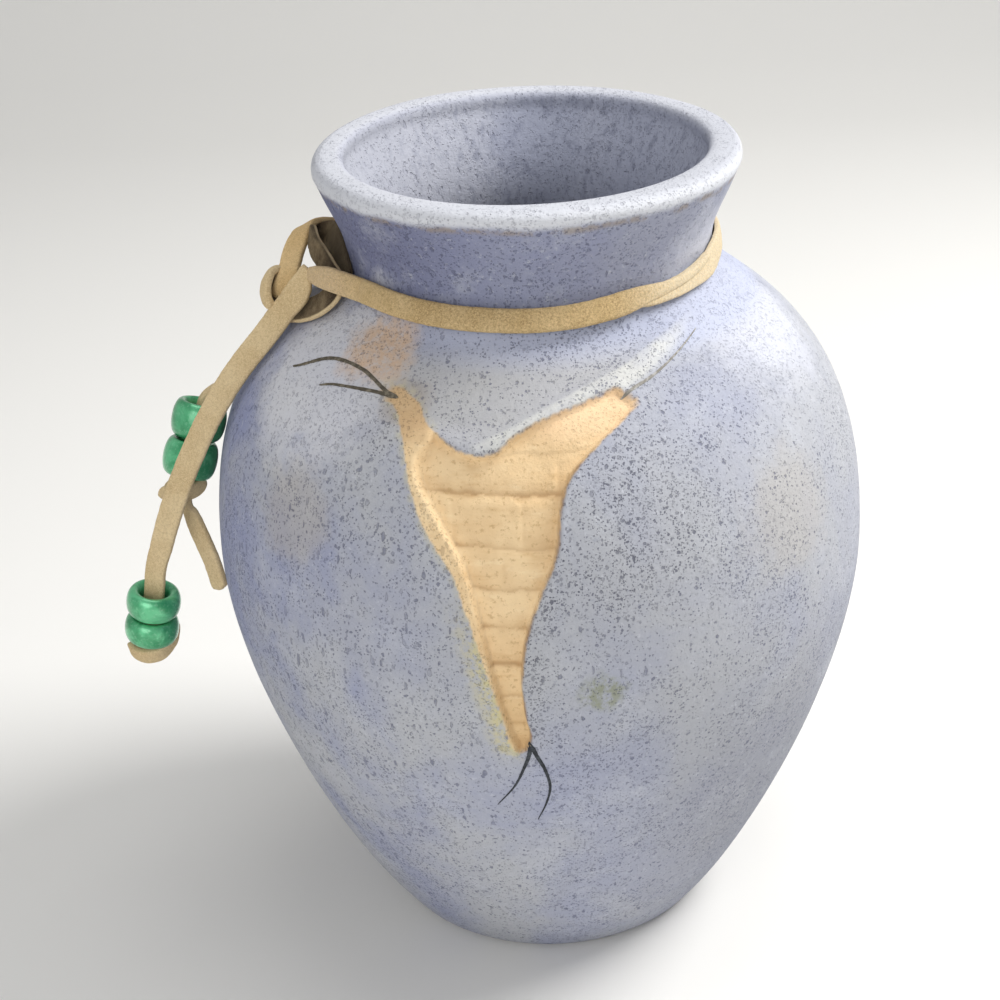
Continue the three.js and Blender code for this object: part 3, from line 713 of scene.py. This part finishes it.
def spaced(line, spacing):
    """The line again, with its points spaced as a function of height asks."""
    gaps = np.linalg.norm(np.diff(line, axis=0), axis=1)
    middle = (line[1:, 1] + line[:-1, 1]) / 2
    count = np.concatenate([[0], np.cumsum(gaps / spacing(middle))])
    places = np.linspace(0, count[-1], int(count[-1]) + 2)
    return np.column_stack([np.interp(places, count, column) for column in line.T])


def vase_profile():
    """The turned line, from under the foot over the lip to the floor, and how many points are outside."""
    outer = spaced(OUTLINE, lambda z: np.where((z > 53) & (z < 112), 0.24, 1.0))
    t = np.linspace(0, math.pi, 30)[1:-1]
    across = np.sign(np.cos(t)) * np.abs(np.cos(t)) ** LIP_SQUARENESS
    up = np.sin(t) ** LIP_SQUARENESS
    lip = np.column_stack([MOUTH_RADIUS + MOUTH_WALL / 2 * (across - 1), LIP_HEIGHT + LIP_CROWN * up])
    for line in (outer, lip):
        swell = LIP_SWELL * hump(line[:, 1] - LIP_SWELL_HEIGHT, 1.2)
        line[:, 0] += swell * smoothstep((line[:, 0] - 31.5) / 1.5)
    inside = OUTLINE - OUTLINE_NORMALS * WALL
    inside = inside[(inside[:, 1] > FLOOR + WALL) & (inside[:, 1] < LIP_HEIGHT - WALL)]
    low = inside[0]
    inside = np.concatenate([[[MOUTH_RADIUS - MOUTH_WALL, LIP_HEIGHT]], inside[::-1]])
    inside = spaced(inside, lambda z: np.where(z > 100, 0.9, 1.8))
    drop = low[1] - FLOOR
    cup = bezier([low, np.array([low[0] - drop, FLOOR]), np.array([low[0] - 2 * drop, FLOOR])], 8)
    underside = [[0.01, 0.0], [FOOT_RADIUS - FOOT_ROUND - 1, 0.0]]
    profile = np.concatenate([underside, outer, lip, inside, cup[1:], [[0.01, FLOOR]]])
    return profile, len(underside) + len(outer)


def vase_skin():
    profile, outer_rows = vase_profile()
    # Finest round the patch, at the front
    turns = [np.arange(-31, 19, 0.26), np.arange(19, 60, 0.9), np.arange(60, 329, 2.2)]
    angles = np.radians(270 + np.concatenate(turns))
    columns = len(angles)
    points, away = turn_round(profile, angles), turn_round(normals_of(profile), angles)

    row = np.repeat(np.arange(len(profile)), columns)
    front = (row < outer_rows) & (points[:, 1] < -8) & (np.abs(points[:, 0] + 1) < 34)
    front &= (points[:, 2] > 50) & (points[:, 2] < 114.5)
    carved, marks = carve(points[front], away[front])
    uneven = unevenness(points) * (smoothstep(points[:, 2] / 12) * (row < outer_rows + 10))
    points[front] = carved
    points += away * uneven[:, None]

    rise = np.clip(points[:, 2] - NECK_HEIGHT, 0, None) / (LIP_HEIGHT - NECK_HEIGHT)
    grown = rise**2
    points[:, 2] += MOUTH_RISE * grown * points[:, 1] / MOUTH_RADIUS
    points[:, 0] *= 1 - MOUTH_OVAL * grown
    points[:, 1] *= 1 + MOUTH_OVAL * grown

    vase = mesh_object("vase_skin", points, grid_faces(len(profile), columns).tolist(), pottery)
    for name, mark in marks.items():
        values = np.zeros(len(points))
        values[front] = mark
        mark_points(vase, name, values)
    mark_points(vase, "within", smoothstep((row - outer_rows - 15) / 12))
    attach(vase, "vase")
    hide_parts("vase_body")


vase_skin()


# Painted cracks: thin tapered strokes that lie on the skin

def stroke(name, places, width, tip=0.15, paint=crack_paint):
    """places are (x, z) seen from the front, and the stroke lies on the vase there."""
    line, where = spline(places, 0.35)
    u = where / where[-1]
    thick = width * smoothstep(0.15 + u / 0.12) * (tip + (1 - tip) * (1 - u) ** 0.8)
    thick = thick * (1 + 0.25 * np.array([noise.noise(Vector((v * 1.9, 0, width))) for v in range(len(u))]))
    along = np.gradient(line, axis=0)
    across = np.column_stack([-along[:, 1], along[:, 0]]) / np.linalg.norm(along, axis=1)[:, None]
    rows = []
    for side, lift in ((-0.5, 0.0), (-0.25, 0.07), (0.25, 0.07), (0.5, 0.0)):
        x, z = (line + across * (thick * side)[:, None]).T
        radius, outwards, upwards = on_outline(z)
        y = -np.sqrt(np.clip(radius**2 - x**2, 0, None))
        base = np.column_stack([x, y, z])
        out = np.column_stack([outwards * x / radius, outwards * y / radius, upwards])
        raised = unevenness(base) + 0.05 + lift
        base, _ = carve(base, out)
        rows.append(base + out * raised[:, None])
    points = np.stack(rows, 1).reshape(-1, 3)
    strip = mesh_object(name, points, grid_faces(len(line), 4, closed=False).tolist(), paint)
    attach(strip, "vase")


stroke("crack_bottom_left", [(-2.6, 56.6), (-2.8, 54.3), (-3.7, 51.4), (-5.2, 47.6), (-7.9, 43.4)], 0.75)
stroke("crack_bottom_right",
       [(-2.5, 56.6), (-1.8, 54.2), (-0.6, 51.2), (0.1, 47.4), (-0.6, 43.6), (-1.9, 40.1)], 0.75)
stroke("crack_left_upper",
       [(-19.9, 105.3), (-21.6, 105.6), (-25.2, 107.1), (-30.2, 106.9), (-36.4, 104.2)], 0.62, 0.25, worn_paint)
stroke("crack_left_lower", [(-20.3, 105.2), (-23.6, 105.3), (-29.2, 104.7), (-31.8, 104)], 0.45, 0.3, worn_paint)
stroke("crack_right",
       [(12.3, 105.1), (14.3, 105.9), (17.3, 106.8), (20.7, 108.2), (24.2, 109.9)], 0.44, 0.3, faint_paint)


# Suede lace: soft flat strips swept along routes

def ribbon(name, route, faces, widths, thickness=LACE_THICKNESS, material=suede, step=0.45,
           shows_reverse_and_shade=False, cup=0.0, turned=(-1.2,)):
    """A strip of lace along a route, and the line it follows. faces, widths and turned are spread over it.

    widths are shares of the lace's width, cup bends its edges towards the face, and turned says how far
    the look of the flesh side, dark with partly painted shade, reaches over the edges, from -1.2 for not at all.
    """
    line, where = spline(route, step)
    faces = np.asarray(faces, float)

    def spread(values):
        places = where / (len(route) - 1) * (len(values) - 1)
        return np.interp(places, np.arange(len(values)), values)

    along = np.gradient(line, axis=0)
    along /= np.linalg.norm(along, axis=1)[:, None]
    face = np.column_stack([spread(column) for column in faces.T])
    face -= along * (face * along).sum(1)[:, None]
    face /= np.linalg.norm(face, axis=1)[:, None]
    across = np.cross(along, face)
    width = spread(widths) * LACE_WIDTH
    ends = np.arange(len(line)) * step
    ends = np.minimum(ends, ends[::-1])
    round_end = np.sqrt(np.clip(1 - (1 - np.clip(ends / 0.9, 0, 1)) ** 2, 0.03, 1))

    sides = 24
    turn = np.linspace(0, 2 * math.pi, sides, endpoint=False)
    c, s = np.cos(turn), np.sin(turn)
    flat_x = np.sign(c) * np.abs(c) ** 0.35
    flat_y = np.sign(s) * np.abs(s) ** 0.6
    sideways = flat_x[None] * (width * round_end)[:, None] / 2
    lift = flat_y[None] * (thickness * round_end ** 0.5)[:, None] / 2 + cup * (flat_x[None] ** 2 - 0.5)
    points = line[:, None] + across[:, None] * sideways[..., None] + face[:, None] * lift[..., None]
    points = points.reshape(-1, 3)
    fuzz = ripple(points, 0.9, 8) * 0.05 + ripple(points, 0.35, 9) * 0.035
    outward = points - np.repeat(line, sides, axis=0)
    outward /= np.linalg.norm(outward, axis=1)[:, None] + 1e-9
    points += outward * fuzz[:, None]
    quads = grid_faces(len(line), sides).tolist()
    quads.append(list(range(sides))[::-1])
    quads.append(list(range((len(line) - 1) * sides, len(line) * sides)))
    strip = mesh_object(name, points, quads, material)
    reverse_and_shade = smoothstep((s if shows_reverse_and_shade else -s)[None] * 3 + spread(turned)[:, None])
    mark_points(strip, "reverse_and_shade", reverse_and_shade.ravel())
    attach(strip, "lace")
    return strip, line


# How far the middle of the lace is off the clay, where it lies on it and inside a bead
LYING = CLEARANCE + LACE_THICKNESS / 2 + 0.2
BEADED = BEAD_RADIUS + CLEARANCE
FRONT_HANG = [off_vase((188.8, 66.7, 11)), off_vase((187.9, 55.9, 15))]
REAR_HANG = [off_vase((177.5, 89.7, BEADED - 0.1)), off_vase((182.4, 78.8, BEADED + 0.7))]
FRONT_TAIL = [np.array(p) for p in (
    (-34.6, -9.2, 117.3), (-34.6, -9.6, 116.4), (-34.8, -9.9, 115.4), (-35.3, -10.2, 114.2), (-36.0, -10.4, 113.0),
    (-37.0, -10.5, 111.8))] + [off_vase(p) for p in (
        (193.5, 107.2, 3.5), (192.7, 103.9, 2.6), (191.9, 100.6, 2.5), (191.2, 96.5, 2.8), (190.7, 91.2, 3.6),
        (190.3, 85.4, 4.9), (189.8, 79.9, 6.5), (189.4, 74.2, 8.3), (189.1, 70, 9.7))]
REAR_TAIL = [np.array(p) for p in (
    (-37.3, 1.7, 113.8), (-37.8, 2.2, 111.5), (-38.5, 2.7, 109.4))] + [off_vase(p) for p in (
        (175.6, 106.3, LYING + 0.6), (175.8, 104.6, LYING + 0.1), (176.1, 101.2, LYING), (176.4, 97.6, LYING),
        (176.7, 94.6, LYING + 0.5), (177.1, 92, LYING + 1.7))]
REAR_END = [off_vase(p) for p in (
    (184, 74.9, 5.4), (184.5, 73.2, 4.7), (185.6, 70.6, 3.6), (187.9, 66.3, 1.9), (190.2, 61.9, LYING + 0.05))]


def straight(hang):
    """Evenly placed points down a straight length of lace."""
    return [hang[0] + (hang[1] - hang[0]) * i / 4 for i in range(5)]


# The loop round the neck, by heights on the vase at angles round it. It comes out of the knot at
# the left, and at the right of the front it is folded: the front run narrows over the side run
def neck_band():
    def run(places, off, widths):
        """places are (angle, height, width in laces)."""
        line, where = spline([(a / 10, h) for a, h, _ in places], 0.35)
        wide = np.interp(where, np.arange(len(places)), [w for _, _, w in places])
        for (a, h), w in zip(line, wide):
            route.append(off_vase((a * 10, h, off)))
            faces.append((*tangent(a * 10, 1), on_outline(h)[2] + 0.05))
            widths.append(w)

    route = [np.array(p) for p in (
        (-34.0, -9.3, 116.0), (-32.8, -11.2, 116.2), (-31.4, -12.8, 116.3), (-29.9, -14.2, 116.3))]
    faces = [(-0.5, -0.8, 0.3), (-0.5, -0.8, 0.3), (-0.6, -0.8, 0.3), (-0.7, -0.65, 0.3)]
    widths = [0.4, 0.72, 0.86, 0.92]
    run([(211, 114.7, 0.9), (218, 114.9, 0.9), (231, 114.6, 0.9), (244, 114.3, 0.9), (257, 114.15, 0.9),
         (270, 114.05, 0.9), (281, 114.2, 0.9), (289.5, 114.6, 0.9), (295.5, 114.95, 0.9), (300, 115.3, 0.82),
         (305.5, 115.6, 0.64), (311, 115.7, 0.46), (317.5, 116.0, 0.38), (323, 116.4, 0.34), (329, 117.0, 0.3),
         (334.5, 117.8, 0.22)], 1.1, widths)
    front, _ = ribbon("neck_band_front", route, faces, widths, material=golden_suede, cup=-0.12)

    route, faces, widths = [], [], []
    run([(299, 114.5, 0.2), (305, 114.2, 0.32), (311, 114.35, 0.38), (317.5, 114.6, 0.5), (322.5, 114.95, 0.6),
         (328.5, 115.2, 0.72), (333, 115.5, 0.84), (338, 115.95, 0.9), (345.5, 116.6, 0.92), (360, 116.9, 0.92),
         (385, 116.9, 0.92), (420, 116.6, 0.95), (460, 116.0, 1.0), (488, 115.5, 1.0), (505, 115.35, 0.95)],
        0.88, widths)
    side, _ = ribbon("neck_band_side", route, faces, widths, thickness=1.0, material=golden_suede, cup=-0.1)
    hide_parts("neck_lace")
    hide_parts("neck_lace")


neck_band()


# The knot: a strand arched over its top, a fold bulging at its left with its dark flesh side in the crease, and a
# loop that shows the dark flesh side along the shoulder and up behind the band, with one more layer at the neck.
# These dark sides are partly the suede's own tone, partly painted shade.
def knot():
    arch, _ = ribbon("knot_arch", [
        off_vase((500, 115.3, 0.95)), off_vase((506, 115.4, 1.1)), (-28.4, 13.4, 115.8), (-30.3, 11.6, 116.2),
        (-33.0, 8.8, 117.6), (-34.5, 6.3, 118.5), (-35.5, 3.6, 119.0),
        (-36.1, 1.3, 118.5), (-36.6, -0.4, 117.6), (-37.0, -2.0, 116.7), (-37.3, -3.6, 115.7), (-37.6, -5.2, 114.8),
        (-38.1, -6.4, 113.6), (-38.6, -7.0, 112.4), (-38.9, -7.0, 110.9)],
        [(-0.75, 0.65, 0.1), (-0.85, 0.45, 0.3), (-0.65, 0.15, 0.75), (-0.47, -0.3, 0.73), (-0.37, -0.68, 0.55),
         (-0.35, -0.87, 0.37), (-0.36, -0.9, 0.28), (-0.4, -0.9, 0.2)],
        (1, 1, 1, 0.97, 0.94, 0.92, 0.9, 0.8), material=strand_suede)
    fold, _ = ribbon("knot_fold", [
        (-37.2, 1.5, 114.7), (-38.2, -0.8, 114.0), (-39.1, -2.8, 113.4), (-39.7, -4.6, 112.9), (-39.8, -5.8, 111.9),
        (-39.6, -6.2, 110.6), (-39.0, -6.0, 109.5), (-38.3, -5.8, 108.8)],
        [(-0.6, -0.5, 0.6), (-0.6, -0.7, 0.4), (-0.75, -0.65, 0.1), (-0.6, -0.7, -0.1)],
        (0.9, 1, 1, 0.9), material=strand_suede, shows_reverse_and_shade=True, cup=-0.25)
    over, _ = ribbon("knot_fold_over", [
        (-38.9, -3.2, 114.9), (-40.1, -4.8, 114.8), (-40.8, -6.4, 114.1), (-41.1, -7.6, 112.8), (-40.9, -8.2, 111.4),
        (-40.1, -8.5, 110.1)],
        [(-0.5, -0.6, 0.6), (-0.8, -0.5, 0.3), (-0.85, -0.5, 0.0), (-0.7, -0.6, -0.2)], (0.5, 0.7, 0.7, 0.5),
        thickness=1.2, cup=-0.15)
    loop, _ = ribbon("knot_loop", [
        (-38.9, -4.8, 108.6), (-37.4, -6.4, 108.9), (-35.6, -8.4, 109.5), (-33.5, -10.7, 110.7),
        (-31.6, -12.4, 112.2), (-30.2, -13.0, 113.7), (-29.6, -12.6, 115.1), (-30.0, -11.2, 116.1),
        (-30.9, -9.5, 117.0), (-31.9, -7.5, 117.8), (-32.8, -5.5, 118.4), (-33.4, -3.3, 118.8),
        (-33.8, -1.0, 119.0), (-34.1, 1.4, 118.9)],
        [(-0.45, -0.5, 0.75), (-0.5, -0.5, 0.7), (-0.5, -0.5, 0.65), (-0.6, -0.6, 0.5), (-0.75, -0.6, 0.3),
         (-0.75, -0.65, 0.2), (-0.7, -0.7, 0.2)],
        (1, 1, 1, 0.9, 0.7, 0.82, 0.75, 0.8),
        shows_reverse_and_shade=True, cup=0.15, turned=(-1.2, -1.2, -1.2, -1.2, -0.4, 0.6, 0.9, 1))
    # Dark all over with the flesh side's look: painted shade.
    inner, _ = ribbon("knot_inner", [
        (-27.9, -11.5, 114.4), (-28.4, -9.8, 115.1), (-29.1, -7.0, 115.9), (-29.9, -4.0, 116.7), (-30.6, -1.0, 117.5),
        (-31.3, 1.8, 117.5), (-32.0, 3.8, 117.4), (-33.0, 4.4, 117.3), (-33.8, 3.6, 117.2)],
        [(-0.85, -0.4, 0.3), (-0.85, -0.35, 0.35), (-0.85, -0.3, 0.4), (-0.2, -0.85, 0.4)],
        (1.0, 1.5, 1.5, 0.9), thickness=0.7, material=strand_suede, shows_reverse_and_shade=True, turned=(1.5,))
    for strip in (arch, fold, over, loop, inner):
        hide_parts("lace_knot")


knot()


# Beads: rounded rings threaded on the straight ends of the lace

TOWARDS_CAMERA = (0.02, -0.9, 0.43)


def bead(name, node, hang, length, rank, body, lean=0.0):
    """lean tips the bead on its lace, so that its top faces the front more. rank counts the beads below it."""
    low, high = hang[1], hang[0]
    axis = (high - low) / np.linalg.norm(high - low)
    centre = low + axis * (length / 2 + (length + CLEARANCE) * rank)
    front = np.array(TOWARDS_CAMERA)
    front -= axis * (front @ axis)
    axis = axis + front / np.linalg.norm(front) * lean
    axis /= np.linalg.norm(axis)
    sides, rings = 56, 28
    t = np.linspace(0, 2 * math.pi, rings, endpoint=False)
    across, up = [np.sign(v) * np.abs(v) ** 0.95 for v in (np.cos(t), np.sin(t))]
    radius = (BEAD_RADIUS + BORE_RADIUS) / 2 + (BEAD_RADIUS - BORE_RADIUS) / 2 * across
    round_bead = np.column_stack([radius, length / 2 * up])
    points = turn_round(round_bead, np.linspace(0, 2 * math.pi, sides, endpoint=False))
    here, beside, last = np.arange(sides), (np.arange(sides) + 1) % sides, (rings - 1) * sides
    closing = np.column_stack([here + last, beside + last, beside, here])
    faces = np.concatenate([grid_faces(rings, sides), closing])[:, ::-1]
    turn = np.array(Vector((0, 0, 1)).rotation_difference(Vector(axis)).to_matrix())
    made = mesh_object(name, points @ turn.T + centre, faces.tolist(), pearl_green)
    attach(made, body)
    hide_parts(node)
    return made


front_beads = [bead("bead_front_1", "front_bead_lower", FRONT_HANG, FRONT_BEAD_LENGTH, 0, "front_lower_bead"),
               bead("bead_front_2", "front_bead_upper", FRONT_HANG, FRONT_BEAD_LENGTH, 1, "front_upper_bead")]
rear_beads = [bead("bead_rear_1", "rear_bead_lower", REAR_HANG, REAR_BEAD_LENGTH, 0, "rear_lower_bead", 0.16),
              bead("bead_rear_2", "rear_bead_upper", REAR_HANG, REAR_BEAD_LENGTH, 1, "rear_upper_bead", 0.18)]


# Stopper knots: short turns of the same lace, folded over each other under the beads

def under_hang(hang, down, side):
    """A place so far below the straight length of a lace, and beside it."""
    axis = (hang[0] - hang[1]) / np.linalg.norm(hang[0] - hang[1])
    return hang[1] - axis * down + np.array(side)


def stopper(name, hang, turns, node):
    """turns are (places as (down, side), faces, widths)."""
    made = []
    for i, (places, faces, widths) in enumerate(turns):
        strip, _ = ribbon(f"{name}_{i + 1}", [under_hang(hang, d, s) for d, s in places], faces, widths, step=0.3)
        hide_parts(node)
        made.append(strip)
    return made


front_knot = stopper("front_stopper", FRONT_HANG, [
    ([(1.2, (-3.4, 0.0, 0.3)), (1.9, (-2.3, -1.4, 0)), (2.4, (-0.2, -2.0, 0)), (2.1, (1.9, -1.5, 0)),
      (1.4, (3.1, -0.3, 0.4)), (0.4, (3.7, 0.7, 1.1)), (-0.6, (3.9, 1.3, 1.8))],
     [(-0.5, -0.7, -0.5), (0, -0.85, -0.5), (0.4, -0.75, -0.5), (0.9, -0.4, -0.3)], (0.7, 0.9, 0.95, 0.85, 0.5)),
    ([(1.3, (2.8, 0.6, 0)), (1.7, (0.8, 1.6, 0)), (1.8, (-1.4, 1.3, 0)), (1.5, (-3.0, 0.2, 0))],
     [(0.3, 0.8, -0.5), (0, 0.8, -0.5), (-0.6, 0.6, -0.5)], (0.7, 0.9, 0.9, 0.7)),
], "front_end_knot")
rear_knot = stopper("rear_stopper", REAR_HANG, [
    ([(3.0, (-3.8, -0.8, 0.1)), (2.5, (-2.6, -1.1, 0.1)), (2.3, (-1.0, -1.6, 0)), (2.2, (0.8, -1.7, 0)),
      (1.9, (2.4, -1.0, 0.3)), (1.5, (3.4, 0, 1))],
     [(-0.2, -0.8, 0.4), (0, -0.8, -0.3), (0.2, -0.8, -0.4), (0.5, -0.7, -0.2)], (0.35, 0.7, 0.85, 0.85, 0.5)),
    ([(2.2, (2.4, 0.6, 0)), (2.4, (0.4, 1.6, 0)), (2.5, (-1.6, 1.0, 0)), (2.8, (-2.6, -0.4, 0))],
     [(0.3, 0.8, -0.4), (0, 0.9, -0.4), (-0.7, 0.4, -0.4)], (0.6, 0.8, 0.8, 0.5)),
], "rear_end_knot")


# The two hanging ends, each one length of lace with its beads and knot on it

def hanging_ends():
    front_route = FRONT_TAIL + straight(FRONT_HANG)
    widths = [0.22, 0.46, 0.74, 0.95, 1.04, 1.02, 1, 1, 1, 1, 1, 1, 1, 0.98, 0.94, 0.88, 0.86, 0.86, 0.86, 0.86]
    front, line = ribbon("front_lace", front_route, [(-0.15, -0.9, 0.42)], widths)
    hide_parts("front_tail")
    rear_route = REAR_TAIL + straight(REAR_HANG) + REAR_END
    faces = [(-0.7, 0, 0.7)] * 13 + [(-0.8, -0.35, 0.5), (-0.65, -0.7, 0.3), (-0.6, -0.75, 0.2), (-0.6, -0.75, 0.2)]
    widths = [0.75, 0.85, 0.95, 1, 1, 0.9, 0.75, 0.7, 0.8, 0.85, 0.825, 0.825, 0.825, 0.825, 0.8, 0.85, 0.88,
              0.86, 0.8]
    rear, line = ribbon("rear_lace", rear_route, faces, widths)
    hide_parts("rear_tail", "rear_lace_end")


hanging_ends()


# Pale floor, backdrop and soft studio light

def studio():
    width = 3000
    bend = [(500 + 450 * math.sin(a), 450 - 450 * math.cos(a)) for a in np.radians(np.arange(10, 91, 10))]
    curve = [(-1200, 0), (500, 0), *bend, (950, 2200)]
    points = [(x, y, z) for y, z in curve for x in (-width / 2, width / 2)]
    material, skin, _ = new_material("floor")
    fill(skin, Base_Color=rgb(236, 235, 232), Roughness=0.9)
    floor = mesh_object("floor", points, grid_faces(len(curve), 2, closed=False).tolist(), material)

    world = bpy.data.worlds.new("studio")
    bpy.context.scene.world = world
    world.use_nodes = True
    fill(world.node_tree.nodes["Background"], Color=(0.985, 0.99, 1.0, 1), Strength=0.40)

    def lamp(name, place, size, power, colour=(1, 1, 1)):
        """A round lamp at a place in metres, aimed at the middle of the vase."""
        data = bpy.data.lights.new(name, "AREA")
        data.shape = "DISK"
        data.size, data.energy, data.color = size, power, colour
        light = bpy.data.objects.new(name, data)
        light.location = place
        light.rotation_euler = (Vector((0, 0, 0.07)) - Vector(place)).to_track_quat("-Z", "Y").to_euler()
        bpy.context.scene.collection.objects.link(light)

    lamp("key", (0.40, 0.05, 0.52), 0.30, 3.9, (1.0, 0.99, 0.975))
    lamp("top", (0.02, 0.05, 0.72), 0.4, 0.9)
    lamp("front", (-0.24, -0.62, 0.32), 0.5, 1.45, (1.0, 0.995, 0.985))
    bpy.context.scene.view_settings.view_transform = "Standard"


studio()
